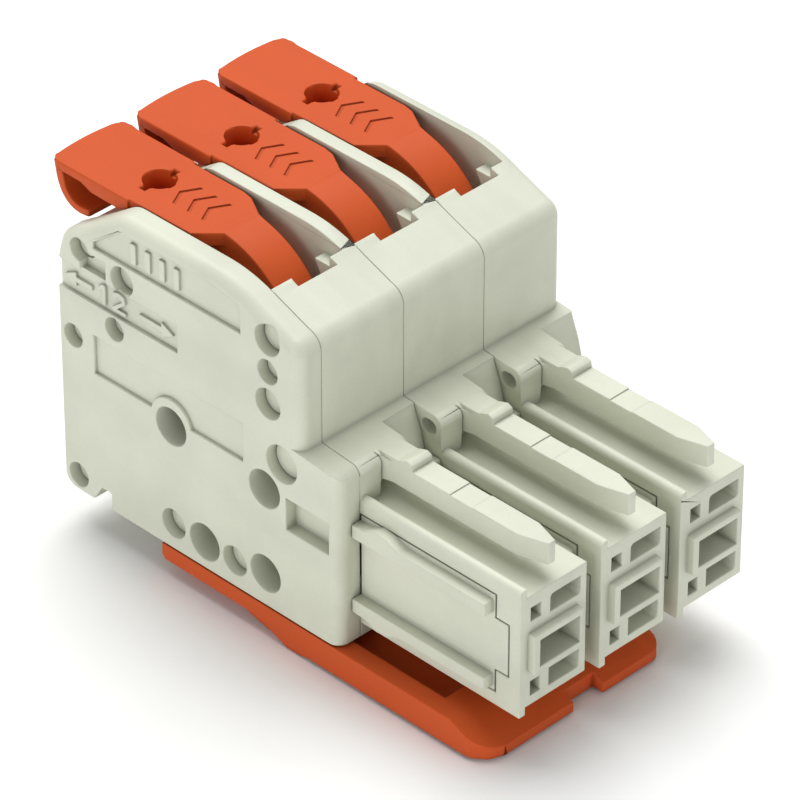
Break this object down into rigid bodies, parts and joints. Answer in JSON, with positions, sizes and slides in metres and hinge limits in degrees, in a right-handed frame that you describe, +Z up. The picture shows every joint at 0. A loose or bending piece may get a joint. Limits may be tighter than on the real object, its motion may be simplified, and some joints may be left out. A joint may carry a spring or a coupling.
{
  "type": "lever wire connector",
  "caption": "Pluggable wire connector with side-by-side poles, orange finger levers over round wire entries, hollow mating legs with guide arms, and a sprung locking plate underneath.",
  "frame": {"origin": "centre of the bounding box's length and width, at the underside of the locking plate", "axes": "+X across the poles towards the plain side, +Y towards the wire entries, -Y towards the mating legs, +Z up towards the levers"},
  "size_m": [0.025, 0.0454, 0.0275],
  "materials": {
    "housing_plastic": "satin",
    "lever_plastic": "satin",
    "spring_steel": "satin",
    "tinned_copper": "satin",
    "pin_steel": "polished"
  },
  "bodies": {
    "housing": {"end_plate": "housing_plastic", "pole_housing_1": "housing_plastic", "leg_cover_1": "housing_plastic", "clamp_spring_1": "spring_steel", "current_bar_1": "tinned_copper", "contact_spring_1": "spring_steel", "pole_housing_2": "housing_plastic", "leg_cover_2": "housing_plastic", "clamp_spring_2": "spring_steel", "current_bar_2": "tinned_copper", "contact_spring_2": "spring_steel", "pole_housing_3": "housing_plastic", "leg_cover_3": "housing_plastic", "clamp_spring_3": "spring_steel", "current_bar_3": "tinned_copper", "contact_spring_3": "spring_steel", "latch_pin": "pin_steel", "latch_spring": "spring_steel"},
    "lever_1_body": {"lever_1": "lever_plastic"},
    "cage_1_body": {"clamp_cage_1": "spring_steel"},
    "lever_2_body": {"lever_2": "lever_plastic"},
    "cage_2_body": {"clamp_cage_2": "spring_steel"},
    "lever_3_body": {"lever_3": "lever_plastic"},
    "cage_3_body": {"clamp_cage_3": "spring_steel"},
    "latch_body": {"latch_plate": "lever_plastic"}
  },
  "joints": [
    {"name": "lever_1_hinge", "type": "hinge", "parent": "housing", "child": "lever_1_body", "pos_m": [-0.00715, 0.00804, 0.0196], "axis": [1, 0, 0], "range_deg": [0, 62]},
    {"name": "cage_1_hinge", "type": "hinge", "parent": "housing", "child": "cage_1_body", "pos_m": [-0.00715, 0.01304, 0.01505], "axis": [1, 0, 0], "range_deg": [0, 20]},
    {"name": "lever_2_hinge", "type": "hinge", "parent": "housing", "child": "lever_2_body", "pos_m": [0.00047, 0.00804, 0.0196], "axis": [1, 0, 0], "range_deg": [0, 62]},
    {"name": "cage_2_hinge", "type": "hinge", "parent": "housing", "child": "cage_2_body", "pos_m": [0.00047, 0.01304, 0.01505], "axis": [1, 0, 0], "range_deg": [0, 20]},
    {"name": "lever_3_hinge", "type": "hinge", "parent": "housing", "child": "lever_3_body", "pos_m": [0.00809, 0.00804, 0.0196], "axis": [1, 0, 0], "range_deg": [0, 62]},
    {"name": "cage_3_hinge", "type": "hinge", "parent": "housing", "child": "cage_3_body", "pos_m": [0.00809, 0.01304, 0.01505], "axis": [1, 0, 0], "range_deg": [0, 20]},
    {"name": "latch_hinge", "type": "hinge", "parent": "housing", "child": "latch_body", "pos_m": [-0.0038, 0.00944, 0.00188], "axis": [1, 0, 0], "range_deg": [0, 8], "stiffness_Nm_per_rad": 0.02, "springref_deg": -11.46}
  ],
  "couplings": [
    {"joint": "cage_1_hinge", "follows": "lever_1_hinge", "ratio": 0.32},
    {"joint": "cage_2_hinge", "follows": "lever_2_hinge", "ratio": 0.32},
    {"joint": "cage_3_hinge", "follows": "lever_3_hinge", "ratio": 0.32}
  ]
}
